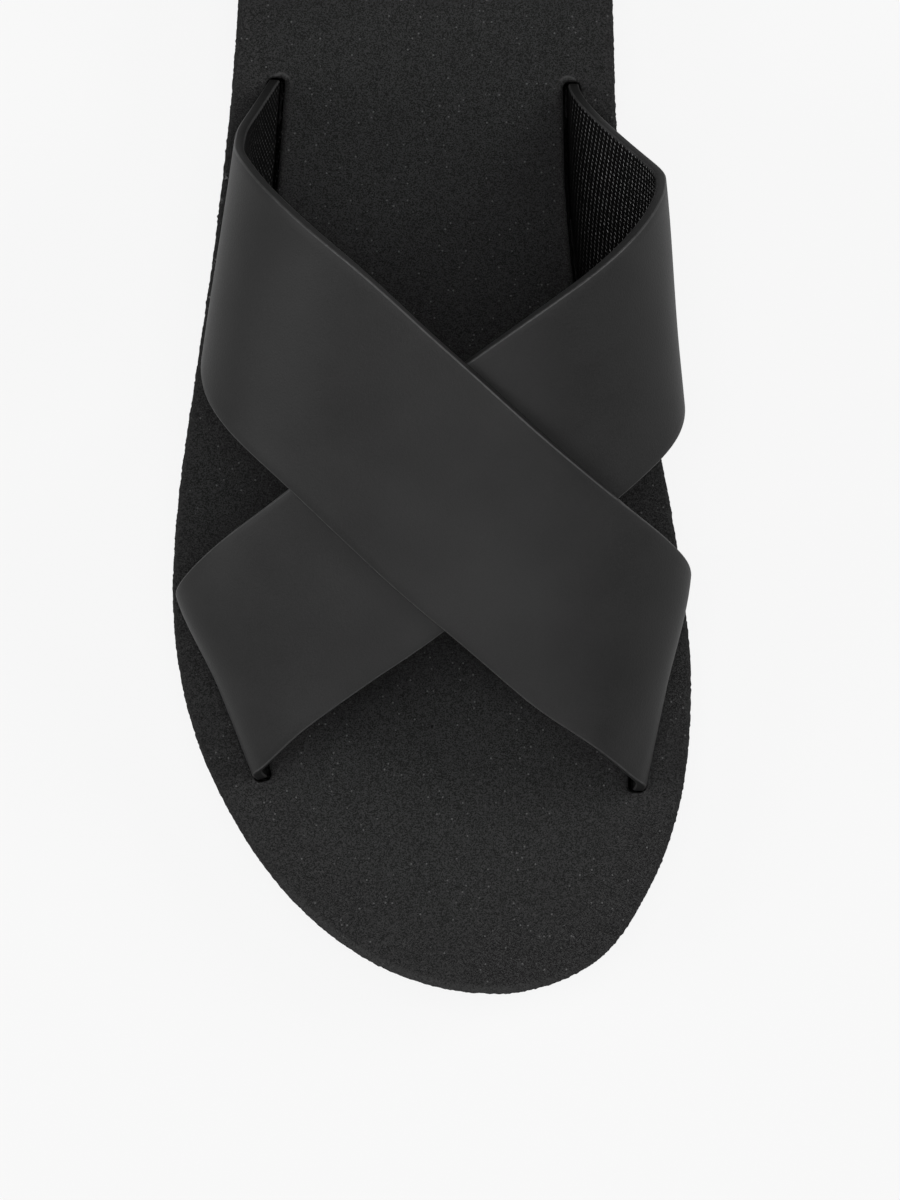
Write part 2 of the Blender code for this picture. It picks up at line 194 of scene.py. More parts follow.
def finishMesh(bm, name, materials, smoothAngle=meshing["smoothAngle"]):
    bmesh.ops.remove_doubles(bm, verts=bm.verts, dist=meshing["weld"])
    bmesh.ops.recalc_face_normals(bm, faces=bm.faces)
    mesh = bpy.data.meshes.new(name)
    bm.to_mesh(mesh)
    bm.free()
    for material in materials:
        mesh.materials.append(material)
    mesh.shade_smooth()
    mesh.set_sharp_from_angle(angle=math.radians(smoothAngle))
    piece = bpy.data.objects.new(name, mesh)
    bpy.context.scene.collection.objects.link(piece)
    return piece


# Materials

def grey(tone):
    return (tone, tone, tone)


def newMaterial(name, tone, roughness, specular):
    material = bpy.data.materials.new(name)
    material.use_nodes = True
    shader = material.node_tree.nodes["Principled BSDF"]
    shader.inputs["Base Color"].default_value = (*grey(tone), 1)
    shader.inputs["Roughness"].default_value = roughness
    shader.inputs["Specular IOR Level"].default_value = specular
    return material, material.node_tree, shader


def addNode(tree, kind, **values):
    node = tree.nodes.new(kind)
    for key, value in values.items():
        if hasattr(node, key):
            setattr(node, key, value)
        else:
            node.inputs[key.replace("_", " ")].default_value = value
    return node


def objectCoords(tree):
    return tree.nodes.new("ShaderNodeTexCoord").outputs["Object"]


def greyRamp(tree, source, spread, dark, light):
    ramp = tree.nodes.new("ShaderNodeValToRGB")
    for element, place, tone in zip(ramp.color_ramp.elements, spread, (dark, light)):
        element.position = place
        element.color = (*grey(tone), 1)
    tree.links.new(source, ramp.inputs["Fac"])
    return ramp.outputs["Color"]


def calc(tree, operation, first, second=0.0):    # a Math node; an input is a socket or a number
    node = tree.nodes.new("ShaderNodeMath")
    node.operation = operation
    for k, value in enumerate((first, second)):
        if isinstance(value, (int, float)):
            node.inputs[k].default_value = value
        else:
            tree.links.new(value, node.inputs[k])
    return node.outputs["Value"]


def product(tree, first, *others):    # sockets and numbers multiplied in turn
    for other in others:
        first = calc(tree, "MULTIPLY", first, other)
    return first


def blend(tree, first, firstShare, second, secondShare):    # two values added, each by its own share
    return calc(tree, "ADD", product(tree, first, firstShare), product(tree, second, secondShare))


def splitPlace(tree, source):
    node = tree.nodes.new("ShaderNodeSeparateXYZ")
    tree.links.new(source, node.inputs["Vector"])
    return node


def splitColour(tree, source):
    node = tree.nodes.new("ShaderNodeSeparateColor")
    tree.links.new(source, node.inputs["Color"])
    return node


def fade(tree, source, start, end):    # 0 at start, 1 at end, eased
    node = tree.nodes.new("ShaderNodeMapRange")
    node.interpolation_type = "SMOOTHSTEP"
    node.inputs["From Min"].default_value = start
    node.inputs["From Max"].default_value = end
    tree.links.new(source, node.inputs["Value"])
    return node.outputs["Result"]


def awayFrom(tree, place, middle):    # the distance in plan from a point on the sole
    x = calc(tree, "SUBTRACT", place.outputs["X"], middle[0])
    y = calc(tree, "SUBTRACT", place.outputs["Y"], middle[1])
    return calc(tree, "SQRT", blend(tree, x, x, y, y))


def texture(tree, kind, coords, scale, **values):
    node = addNode(tree, kind, Scale=float(scale), **values)
    tree.links.new(coords, node.inputs["Vector"])
    return node


def mixColours(tree, share, first, second):    # inputs 6 and 7 and output 2 are the Mix node's colours
    node = addNode(tree, "ShaderNodeMix", data_type="RGBA")
    tree.links.new(share, node.inputs["Factor"])
    for socket, value in ((node.inputs[6], first), (node.inputs[7], second)):
        if isinstance(value, tuple):
            socket.default_value = (*value, 1)
        else:
            tree.links.new(value, socket)
    return node.outputs[2]


def addBump(tree, shader, height, depth, strength=1.0):
    bump = addNode(tree, "ShaderNodeBump", Strength=strength, Distance=depth)
    tree.links.new(height, bump.inputs["Height"])
    tree.links.new(bump.outputs["Normal"], shader.inputs["Normal"])


foam = {
    "dark": 0.0020,
    "light": 0.0156,
    "spread": (0.30, 0.86),
    "crumbScale": 5600,    # one crumb is about a fifth of a millimetre
    "crumbShare": 0.8,
    "fineScale": 9500,
    "fineShare": 0.3,
    "cloudScale": 140,
    "cloudShare": 0.07,
    "speckScale": 950,
    "specks": (0.78, 0.82),
    "speckSize": (0.22, 0.10),
    "speckColour": 0.045,
    "bumpDepth": 0.00012,
    "roughness": 0.88,
    "specular": 0.14,
    "wallStreak": (500, 500, 5200),
    "wallReach": 0.0004,
    "rimReach": 0.0011,
    "rimColour": 0.009,
    # painted highlight: the toe's rounded edge is coloured lighter in a band of its own width, coming in
    # towards the toe
    "toeHighlightReach": (0.0018, 0.0012),
    "toeHighlightAlong": (-0.100, -0.122),
    "toeHighlightAcross": (0.034, 0.008),
    "toeHighlightColour": 0.018,
    # painted highlight: the foam is coloured lighter in a short arc round the rear end of each rear slot
    "lipHighlightEnds": ((0.0256, 0.0396), (-0.0286, 0.0402)),
    "lipHighlightRadius": 0.0016,
    "lipHighlightWide": 0.0004,
    "lipHighlightFrom": (0.0004, 0.0012),
    "lipHighlightColour": 0.040,
    # torn crumbs along the outer edge beside the rear slot, as lengths along the foot and in from the edge
    "tornAlong": (-0.004, 0.027),
    "tornEnds": 0.003,
    "tornSide": (0.0, -0.001),
    "tornIn": (0.0002, 0.0004),
    "tornOut": (0.0021, 0.00168),
    "tornSpread": (0.55, 0.63),
    "tornColour": 0.110,
    "tornScale": 420,
    "tornBump": 2.0,
    "tornLift": 0.0003,
    "tornEvery": 0.0014,
    "tornOver": 0.15,
    "tornHeight": 0.8,
    # one small pit in front of the crossing; its dark colour is painted shade
    "pit": (-0.0001, -0.0815),
    "pitRadius": 0.00034,
    "pitSteep": 0.6,
    "pitShadeColour": 0.0005,
    "pitBump": 4.0,
}


def footbedMaterial():
    material, tree, shader = newMaterial("footbedFoam", foam["light"], foam["roughness"], foam["specular"])
    coords = objectCoords(tree)
    place = splitPlace(tree, coords)
    across, along = place.outputs["X"], place.outputs["Y"]
    crumbs = texture(tree, "ShaderNodeTexVoronoi", coords, foam["crumbScale"])
    fine = texture(tree, "ShaderNodeTexNoise", coords, foam["fineScale"], Detail=2.0, Roughness=0.6)
    cloud = texture(tree, "ShaderNodeTexNoise", coords, foam["cloudScale"], Detail=3.0, Roughness=0.5)
    crumb = splitColour(tree, crumbs.outputs["Color"])
    grain = blend(tree, crumb.outputs["Red"], foam["crumbShare"], fine.outputs["Fac"], foam["fineShare"])
    shifted = product(tree, calc(tree, "SUBTRACT", cloud.outputs["Fac"], 0.5), foam["cloudShare"])
    colour = greyRamp(tree, calc(tree, "ADD", grain, shifted), foam["spread"], foam["dark"], foam["light"])
    specks = texture(tree, "ShaderNodeTexVoronoi", coords, foam["speckScale"])
    chosen = splitColour(tree, specks.outputs["Color"])
    speck = product(tree, fade(tree, chosen.outputs["Green"], *foam["specks"]),
                    fade(tree, specks.outputs["Distance"], *foam["speckSize"]))
    colour = mixColours(tree, speck, colour, grey(foam["speckColour"]))
    # the cut rim shows a little lighter, and the band at the toe is a painted highlight
    depth = addNode(tree, "ShaderNodeAttribute", attribute_name="edgeDistance").outputs["Fac"]
    rim = product(tree, fade(tree, depth, foam["rimReach"], 0.0), crumb.outputs["Blue"])
    colour = mixColours(tree, rim, colour, grey(foam["rimColour"]))
    toeHighlight = product(tree, fade(tree, depth, *foam["toeHighlightReach"]), fade(tree, along, *foam["toeHighlightAlong"]),
                   fade(tree, across, *foam["toeHighlightAcross"]), crumb.outputs["Green"])
    colour = mixColours(tree, toeHighlight, colour, grey(foam["toeHighlightColour"]))
    # torn crumbs beside the strap
    torn = texture(tree, "ShaderNodeTexNoise", coords, foam["tornScale"], Detail=3.0, Roughness=0.7)
    front, rear = foam["tornAlong"]
    patch = product(tree, fade(tree, depth, *foam["tornIn"]), fade(tree, depth, *foam["tornOut"]),
                    fade(tree, along, front, front + foam["tornEnds"]),
                    fade(tree, along, rear, rear - foam["tornEnds"]),
                    fade(tree, across, *foam["tornSide"]),
                    fade(tree, torn.outputs["Fac"], *foam["tornSpread"]))
    colour = mixColours(tree, product(tree, patch, crumb.outputs["Red"]), colour, grey(foam["tornColour"]))
    # painted highlight on the lip, in an arc round the rear end of each rear slot
    for middle in foam["lipHighlightEnds"]:
        off = calc(tree, "SUBTRACT", awayFrom(tree, place, middle), foam["lipHighlightRadius"])
        ring = fade(tree, calc(tree, "ABSOLUTE", off), foam["lipHighlightWide"], 0.0)
        first, last = foam["lipHighlightFrom"]
        lipHighlight = product(tree, ring, fade(tree, along, middle[1] + first, middle[1] + last), torn.outputs["Fac"])
        colour = mixColours(tree, lipHighlight, colour, grey(foam["lipHighlightColour"]))
    # the pit is darkened with painted shade as well as sunk by the bump
    radius = foam["pitRadius"]
    pit = fade(tree, awayFrom(tree, place, foam["pit"]), radius, radius * foam["pitSteep"])
    colour = mixColours(tree, pit, colour, grey(foam["pitShadeColour"]))
    tree.links.new(colour, shader.inputs["Base Color"])
    # fine streaks stand on the cut wall
    stretch = addNode(tree, "ShaderNodeMapping")
    stretch.inputs["Scale"].default_value = foam["wallStreak"]
    tree.links.new(coords, stretch.inputs["Vector"])
    streaks = texture(tree, "ShaderNodeTexNoise", stretch.outputs["Vector"], 1.0, Detail=3.0, Roughness=0.6)
    wall = product(tree, fade(tree, depth, foam["wallReach"], 0.0), streaks.outputs["Fac"])
    height = calc(tree, "ADD", calc(tree, "ADD", grain, wall), product(tree, patch, foam["tornBump"]))
    height = calc(tree, "SUBTRACT", height, product(tree, pit, foam["pitBump"]))
    addBump(tree, shader, height, foam["bumpDepth"])
    return material


rubber = {
    "dark": 0.004,
    "light": 0.009,
    "spread": (0.35, 0.68),
    "grainScale": 1800,
    "grainShare": 0.6,
    "dustScale": 160,
    "dustShare": 0.4,
    "bumpDepth": 0.0001,
    "bumpStrength": 0.6,
    "roughness": (0.62, 0.80),
    "roughSpread": (0.3, 0.7),
    "plainRoughness": 0.7,
    "specular": 0.3,
}


def outsoleMaterial():
    material, tree, shader = newMaterial("outsoleRubber", rubber["dark"], rubber["plainRoughness"],
                                         rubber["specular"])
    coords = objectCoords(tree)
    grain = texture(tree, "ShaderNodeTexNoise", coords, rubber["grainScale"], Detail=4.0, Roughness=0.6)
    dust = texture(tree, "ShaderNodeTexNoise", coords, rubber["dustScale"], Detail=3.0, Roughness=0.55)
    tone = blend(tree, grain.outputs["Fac"], rubber["grainShare"], dust.outputs["Fac"], rubber["dustShare"])
    colour = greyRamp(tree, tone, rubber["spread"], rubber["dark"], rubber["light"])
    tree.links.new(colour, shader.inputs["Base Color"])
    gloss = greyRamp(tree, dust.outputs["Fac"], rubber["roughSpread"], *rubber["roughness"])
    tree.links.new(gloss, shader.inputs["Roughness"])
    addBump(tree, shader, grain.outputs["Fac"], rubber["bumpDepth"], rubber["bumpStrength"])
    return material


skin = {
    "dark": 0.0055,
    "light": 0.0105,
    "spread": (0.35, 0.65),
    "cloudScale": 60,
    "cloudShare": 0.4,
    "grainScale": 4200,
    "grainShare": 0.6,
    "poreScale": 2300,
    "bumpDepth": 0.000018,
    "roughness": (0.50, 0.60),
    "roughSpread": (0.3, 0.7),
    "plainRoughness": 0.55,
    "specular": 0.14,
}


def skinMaterial():
    material, tree, shader = newMaterial("strapSkin", skin["dark"], skin["plainRoughness"], skin["specular"])
    coords = objectCoords(tree)
    grain = texture(tree, "ShaderNodeTexNoise", coords, skin["grainScale"], Detail=2.0, Roughness=0.5)
    pores = texture(tree, "ShaderNodeTexVoronoi", coords, skin["poreScale"])
    cloud = texture(tree, "ShaderNodeTexNoise", coords, skin["cloudScale"], Detail=2.0, Roughness=0.5)
    tone = blend(tree, cloud.outputs["Fac"], skin["cloudShare"], grain.outputs["Fac"], skin["grainShare"])
    colour = greyRamp(tree, tone, skin["spread"], skin["dark"], skin["light"])
    tree.links.new(colour, shader.inputs["Base Color"])
    gloss = greyRamp(tree, grain.outputs["Fac"], skin["roughSpread"], *skin["roughness"])
    tree.links.new(gloss, shader.inputs["Roughness"])
    height = calc(tree, "ADD", grain.outputs["Fac"], pores.outputs["Distance"])
    addBump(tree, shader, height, skin["bumpDepth"])
    return material


cutEdge = {
    "dark": 0.0034,
    "light": 0.0066,
    "spread": (0.3, 0.7),
    "grainScale": 2400,
    "detail": 3.0,
    "grainRoughness": 0.6,
    "bumpDepth": 0.00004,
    "bumpStrength": 0.6,
    "roughness": 0.62,
    "specular": 0.2,
}

# painted highlight: the thin lighter line along both corners of a cut edge
cornerHighlight = {
    "dark": 0.0140,
    "light": 0.0240,
    "spread": (0.35, 0.65),
    "grainScale": 700,
    "detail": 4.0,
    "grainRoughness": 0.7,
    "bumpDepth": 0.00003,
    "bumpStrength": 0.5,
    "roughness": 0.5,
    "specular": 0.18,
}


def cutMaterial(name, looks):
    material, tree, shader = newMaterial(name, looks["dark"], looks["roughness"], looks["specular"])
    grain = texture(tree, "ShaderNodeTexNoise", objectCoords(tree), looks["grainScale"],
                    Detail=looks["detail"], Roughness=looks["grainRoughness"]).outputs["Fac"]
    colour = greyRamp(tree, grain, looks["spread"], looks["dark"], looks["light"])
    tree.links.new(colour, shader.inputs["Base Color"])
    addBump(tree, shader, grain, looks["bumpDepth"], looks["bumpStrength"])
    return material


weave = {
    "pitchAlong": 0.00043,
    "pitchAcross": 0.00092,
    "slant": 0.22,
    "strapLong": 0.190,
    "strapWide": 0.043,
    "dark": 0.0003,
    "glintTone": 0.19,
    "knots": (0.52, 0.90),
    "fuzzScale": 1500,
    "fuzz": (0.25, 0.72),
    # painted highlight: the glints fade out near the slot and all along the little toe side
    "glintDim": 0.7,
    "glintDimFade": (0.30, 0.60),
    "slotFade": (0.955, 0.885),
    "depth": 0.00008,
    "depthSpread": (-0.6, 1.0),
    "roughness": 0.6,
    "specular": 0.08,
}


def liningMaterial():
    material, tree, shader = newMaterial("strapLining", weave["dark"], weave["roughness"], weave["specular"])
    uv = addNode(tree, "ShaderNodeUVMap", uv_map="UVMap")
    place = splitPlace(tree, uv.outputs["UV"])
    along = product(tree, place.outputs["X"], weave["strapLong"])
    across = product(tree, place.outputs["Y"], weave["strapWide"])
    slanted = calc(tree, "ADD", along, product(tree, across, weave["slant"]))
    weft = calc(tree, "SINE", product(tree, slanted, math.pi / weave["pitchAlong"]))
    warp = calc(tree, "SINE", product(tree, across, math.pi / weave["pitchAcross"]))
    crossing = product(tree, weft, warp)
    fuzz = texture(tree, "ShaderNodeTexNoise", objectCoords(tree), weave["fuzzScale"],
                   Detail=2.0, Roughness=0.6).outputs["Fac"]
    # painted highlight: the knots of the weave are coloured as light glints on the dark lining
    glintKnot = product(tree, fade(tree, crossing, *weave["knots"]), fade(tree, fuzz, *weave["fuzz"]))
    sideGlint = product(tree, fade(tree, place.outputs["X"], *weave["glintDimFade"]), weave["glintDim"])
    glintDim = product(tree, calc(tree, "ADD", sideGlint, 1 - weave["glintDim"]),
                   fade(tree, place.outputs["X"], *weave["slotFade"]))
    colour = mixColours(tree, product(tree, glintKnot, glintDim), grey(weave["dark"]), grey(weave["glintTone"]))
    tree.links.new(colour, shader.inputs["Base Color"])
    addBump(tree, shader, fade(tree, crossing, *weave["depthSpread"]), weave["depth"])
    return material


foamMat = footbedMaterial()
rubberMat = outsoleMaterial()
skinMat = skinMaterial()
edgeMat = cutMaterial("strapEdge", cutEdge)
cornerHighlightMat = cutMaterial("strapCornerHighlight", cornerHighlight)
liningMat = liningMaterial()
print("materials made")

# Straps

arch = {
    "instep": 0.066,
    "thick": 0.002,
    "roundness": 2.15,
    "tab": 0.009,
    "sectionsPerLength": 400,
    "sideSteps": 40,
    "crownSteps": 90,
    "shares": 600,
    # station, lateral slot, lean, bulge and its height, crown and its height, then the medial bulge's height,
    # bulge, lean and slot
    "sections": (
        (0.346, 0.304, 1.50, 0.360, 0.333, 0.045, 1.121, 0.409, 0.423, 0.10, 0.271),
        (0.432, 0.322, 1.50, 0.394, 0.333, 0.049, 1.000, 0.409, 0.450, 0.45, 0.277),
        (0.525, 0.354, 1.40, 0.434, 0.303, 0.053, 0.848, 0.364, 0.469, 0.90, 0.304),
        (0.618, 0.384, 1.30, 0.469, 0.258, 0.057, 0.682, 0.303, 0.492, 1.00, 0.346),
        (0.704, 0.404, 1.30, 0.500, 0.197, 0.057, 0.523, 0.227, 0.496, 1.20, 0.386),
        (0.782, 0.375, 1.25, 0.411, 0.136, 0.053, 0.394, 0.152, 0.450, 1.25, 0.406),
        (0.856, 0.322, 1.20, 0.334, 0.076, 0.049, 0.288, 0.076, 0.409, 1.20, 0.397),
    ),
    # where a value stands in a row, on the lateral and on the medial side
    "columns": {
        "slot": (1, 10),
        "lean": (2, 9),
        "bulge": (3, 8),
        "bulgeHigh": (4, 7),
        "crown": (5, 5),
        "crownHigh": (6, 6),
    },
}

straps = {
    "along": 200,
    "across": 22,
    "endShare": 0.06,
    "edgeRound": 0.00030,
    "roundSteps": 2,
    "cornerAngle": 60,
    "joinGap": 0.00005,
    "climb": (0.12, 0.28),
    "descent": (0.74, 0.88),
    # the over strap's rear edge stands a little clear of the under strap on the big toe side
    "standOff": 0.0014,
    "standPower": 1.5,
    "standClimb": (0.48, 0.62),
    "standDescent": (0.70, 0.80),
    "overColumn": 1,
    "underColumn": 3,
    # share of the arch, rear and front edge of the over strap, rear and front edge of the under strap
    "edges": (
        (0.000, 0.346, 0.508, 0.720, 0.8472),
        (0.063, 0.371, 0.526, 0.718, 0.8442),
        (0.125, 0.388, 0.545, 0.711, 0.838),
        (0.250, 0.414, 0.604, 0.666, 0.810),
        (0.375, 0.472, 0.669, 0.612, 0.779),
        (0.500, 0.545, 0.734, 0.558, 0.743),
        (0.625, 0.611, 0.786, 0.499, 0.691),
        (0.750, 0.663, 0.819, 0.441, 0.624),
        (0.875, 0.701, 0.846, 0.404, 0.564),
        (0.938, 0.711, 0.8520, 0.378, 0.537),
        (1.000, 0.718, 0.8550, 0.349, 0.511),
    ),
}


def sectionValue(name, side, station):
    rows, column = arch["sections"], arch["columns"][name][side > 0]
    return float(curveThrough([row[0] for row in rows], [row[column] for row in rows], station))


def slotX(side, station):
    return side * sectionValue("slot", side, station) * shoe["ballWidth"]


def sideLine(side, station):    # outer face on one side of the foot, from the footbed up to the crown
    foot = slotX(side, station) + side * arch["thick"] / 2
    bulge = side * sectionValue("bulge", side, station) * shoe["ballWidth"]
    bulgeHigh = sectionValue("bulgeHigh", side, station) * arch["instep"]
    crown = sectionValue("crown", side, station) * shoe["ballWidth"]
    crownHigh = sectionValue("crownHigh", side, station) * arch["instep"]
    floor = footbedTopZ(foot, yAt(station))
    rise = np.linspace(0, 1, arch["sideSteps"])
    outward = rise * rise * (3 - 2 * rise) + sectionValue("lean", side, station) * rise * (1 - rise) ** 2
    low = np.stack([foot + (bulge - foot) * outward, floor + bulgeHigh * rise], axis=1)
    turn = np.linspace(0, math.pi / 2, arch["crownSteps"])[1:]
    power = 2 / arch["roundness"]
    over = crown + (bulge - crown) * np.clip(np.cos(turn), 0, 1) ** power
    up = floor + bulgeHigh + (crownHigh - bulgeHigh) * np.sin(turn) ** power
    return np.concatenate([low, np.stack([over, up], axis=1)])


evenShares = np.linspace(0, 1, arch["shares"] + 1)
knownSections = {}


def sectionAt(step):    # a whole section of the arch at evenly spaced shares of its length, kept once made
    if step not in knownSections:
        station = step / arch["sectionsPerLength"]
        line = np.concatenate([sideLine(-1, station), sideLine(1, station)[::-1][1:]])
        way = np.concatenate([[0], np.cumsum(np.linalg.norm(np.diff(line, axis=0), axis=1))])
        way /= way[-1]
        knownSections[step] = np.interp(evenShares, way, line[:, 0]), np.interp(evenShares, way, line[:, 1])
    return knownSections[step]


def archPoint(share, station):
    place = station * arch["sectionsPerLength"]
    step = math.floor(place)
    mix = place - step
    spot = share * arch["shares"]
    low = min(arch["shares"] - 1, math.floor(spot))
    part = spot - low
    found = []
    for near, far in zip(sectionAt(step), sectionAt(step + 1)):
        here = near[low] * (1 - part) + near[low + 1] * part
        there = far[low] * (1 - part) + far[low + 1] * part
        found.append(here * (1 - mix) + there * mix)
    return Vector((found[0], yAt(station), found[1]))


def belowPoint(side, station, share):    # down the slot, round the bend and in under the footbed
    outer = slotX(side, station) + side * arch["thick"] / 2
    y = yAt(station)
    top, floor = footbedTopZ(outer, y), footbedBaseZ(y)
    radius = arch["thick"] + shoe["cementGap"]
    drop = top - floor - radius
    bend = math.pi / 2 * radius
    run = share * (drop + bend + arch["tab"] - radius)
    if run < drop:
        return Vector((outer, y, top - run))
    if run < drop + bend:
        angle = (run - drop) / radius
        inward = radius * (1 - math.cos(angle))
        return Vector((outer - side * inward, y, floor + radius * (1 - math.sin(angle))))
    return Vector((outer - side * (radius + run - drop - bend), y, floor))


def edgeStation(column, share):
    rows = straps["edges"]
    return float(curveThrough([row[0] for row in rows], [row[column] for row in rows], share))


def strapPiece(name, rearColumn, lift):
    bm = bmesh.new()
    bm.loops.layers.uv.new("UVMap")
    bmesh.ops.create_grid(bm, x_segments=straps["along"], y_segments=straps["across"], size=0.5,
                          calc_uvs=True)
    end = straps["endShare"]
    lifts = {}
    for vert in bm.verts:
        a, b = vert.co.x + 0.5, vert.co.y + 0.5
        share = min(1.0, max(0.0, (a - end) / (1 - 2 * end)))
        rear, front = edgeStation(rearColumn, share), edgeStation(rearColumn + 1, share)
        station = rear + (front - rear) * b
        if a < end:
            vert.co = belowPoint(-1, station, 1 - a / end)
        elif a > 1 - end:
            vert.co = belowPoint(1, station, (a - 1 + end) / end)
        else:
            vert.co = archPoint(share, station)
        level = 1 - easeBetween(share, *straps["descent"])
        lifts[vert] = lift * easeBetween(share, *straps["climb"]) * level
        if lift:
            along = easeBetween(share, *straps["standClimb"])
            along *= 1 - easeBetween(share, *straps["standDescent"])
            lifts[vert] += straps["standOff"] * along * (1 - b) ** straps["standPower"]
    bm.normal_update()
    top = max(bm.faces, key=lambda face: face.calc_center_median().z)
    if top.normal.z < 0:
        bmesh.ops.reverse_faces(bm, faces=bm.faces)
        bm.normal_update()
    for vert, rise in lifts.items():
        vert.co += vert.normal * rise
    mesh = bpy.data.meshes.new(name)
    bm.to_mesh(mesh)
    bm.free()
    for material in (skinMat, edgeMat, liningMat, cornerHighlightMat):
        mesh.materials.append(material)
    mesh.shade_smooth()
    piece = bpy.data.objects.new(name, mesh)
    bpy.context.scene.collection.objects.link(piece)
    wall = piece.modifiers.new("wall", "SOLIDIFY")
    wall.thickness = arch["thick"]
    wall.offset = -1
    # counted from the skin: the edge is the next material, the lining the second and the corner's painted
    # highlight the third
    wall.material_offset = 2
    wall.material_offset_rim = 1
    rounding = piece.modifiers.new("rounding", "BEVEL")
    rounding.width = straps["edgeRound"]
    rounding.segments = straps["roundSteps"]
    rounding.limit_method = "ANGLE"
    rounding.angle_limit = math.radians(straps["cornerAngle"])
    rounding.material = 3
    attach(piece, "root")
    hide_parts("upper")


strapPiece("underStrap", straps["underColumn"], 0.0)
strapPiece("overStrap", straps["overColumn"], arch["thick"] + straps["joinGap"])
print("straps made")

# Footbed

bed = {
    "rows": 640,
    "columns": 16,
    "topRound": 0.0012,
    "roundSteps": 5,
    "wallSteps": 5,
    "nominal": 0.018,
    # how far the cut edge wanders, over what distance, and the share of the height where it starts
    "sawn": 0.00022,
    "sawnEvery": 0.00055,
    "wavy": 0.00012,
    "wavyEvery": 0.006,
    "wanderFrom": 0.02,
    "outlinePoints": 1200,
    "parts": 60,
}

slots = {
    "innerGap": 0.0010,
    "outerGap": 0.0003,
    "rearRoom": 0.0004,
    "frontRoom": 0.0003,
    "corner": 0.0011,
    "cornerSteps": 6,
    "sideSteps": 22,
    "lip": 0.0012,
    # the lip is full on the inner side, where the strap leans away, and small elsewhere
    "lipShares": {"inner": 1.0, "outer": 0.2, "front": 0.2, "rear": 0.35},
    "lipSteps": 6,
    "mouth": 1.4,
    "past": 0.002,    # how far the cutter stands out above and below
    "slopeStep": 0.002,
}


def slotRing(rear, front, grow):    # places round a slot: distance outwards from its middle line, and station
    inner, outer = arch["thick"] / 2 + slots["innerGap"], arch["thick"] / 2 + slots["outerGap"]
    corner, shares = slots["corner"], slots["lipShares"]
    first = rear + (corner - slots["rearRoom"]) / shoe["length"]
    last = front - (corner - slots["frontRoom"]) / shoe["length"]
    far, near = outer - corner, corner - inner
    centres = ((far, last), (near, last), (near, first), (far, first))
    ring = []
    for quarter, (out, station) in enumerate(centres):
        for step in range(slots["cornerSteps"] + 1):
            angle = math.pi / 2 * (quarter + step / slots["cornerSteps"])
            sideways = shares["inner"] if quarter in (1, 2) else shares["outer"]
            endways = shares["front"] if quarter < 2 else shares["rear"]
            radius = corner + grow * (sideways * math.cos(angle) ** 2 + endways * math.sin(angle) ** 2)
            ring.append((out + radius * math.cos(angle), station + radius * math.sin(angle) / shoe["length"]))
        if quarter % 2:
            reach, target = ring[-1][0], centres[(quarter + 1) % 4][1]
            for step in range(1, slots["sideSteps"]):
                ring.append((reach, station + (target - station) * step / slots["sideSteps"]))
    return ring


def besideSlot(side, station, out):
    step = slots["slopeStep"]
    ahead = slotX(side, station + step) - slotX(side, station - step)
    along = Vector((ahead, -2 * step * shoe["length"], 0)).normalized()
    return Vector((slotX(side, station), yAt(station), 0)) + Vector((-along.y, along.x, 0)) * side * out


def addSlot(bm, number, side, rear, front):
    count = len(slotRing(rear, front, 0))
    circle = bmesh.ops.create_circle(bm, cap_ends=True, segments=count, radius=1)["verts"]
    for vert in circle:
        vert[number] = round(math.atan2(vert.co.x, vert.co.y) / (2 * math.pi) * count) % count
    lip, top = slots["lip"], bed["nominal"]
    levels = [(0, -slots["past"])]
    for k in range(slots["lipSteps"] + 1):
        angle = math.pi / 2 * k / slots["lipSteps"]
        levels.append((lip * (1 - math.cos(angle)), top - lip * (1 - math.sin(angle))))
    levels.append((lip * slots["mouth"], top + slots["past"]))
    face = circle[0].link_faces[0]
    for level, (grow, z) in enumerate(levels):
        if level:
            made = bmesh.ops.extrude_face_region(bm, geom=[face], use_keep_orig=True)
            if level > 1:
                bmesh.ops.delete(bm, geom=[face], context="FACES")
            face = [item for item in made["geom"] if isinstance(item, bmesh.types.BMFace)][0]
        ring = slotRing(rear, front, grow)
        for vert in face.verts:
            out, station = ring[vert[number]]
            vert.co = besideSlot(side, station, out)
            vert.co.z = z


def slotCutter():    # the four slots in one piece
    bm = bmesh.new()
    number = bm.verts.layers.int.new("number")
    for column in (straps["overColumn"], straps["underColumn"]):
        for side, share in ((-1, 0), (1, 1)):
            addSlot(bm, number, side, edgeStation(column, share), edgeStation(column + 1, share))
    return finishMesh(bm, "slotCutter", [])


def cutWith(piece, cutter):
    cut = piece.modifiers.new("cut", "BOOLEAN")
    cut.operation = "DIFFERENCE"
    cut.solver = "EXACT"
    cut.object = cutter
    bpy.context.view_layer.update()
    mesh = bpy.data.meshes.new_from_object(piece.evaluated_get(bpy.context.evaluated_depsgraph_get()))
    piece.modifiers.clear()
    piece.data = mesh
    bpy.data.objects.remove(cutter, do_unlink=True)


def edgeDistance(points):    # how far each point lies from the outline
    turns = np.linspace(0, 2 * math.pi, bed["outlinePoints"], endpoint=False)
    outline = np.array([outlinePoint(turn)[:2] for turn in turns])
    ahead = np.roll(outline, -1, axis=0) - np.roll(outline, 1, axis=0)
    across = np.stack([-ahead[:, 1], ahead[:, 0]], axis=1) / np.linalg.norm(ahead, axis=1)[:, None]
    found = []
    for part in np.array_split(points[:, :2], bed["parts"]):
        away = part[:, None] - outline[None]
        near = np.argmin((away ** 2).sum(axis=2), axis=1)
        found.append(np.abs((away[np.arange(len(part)), near] * across[near]).sum(axis=1)))
    return np.concatenate(found)


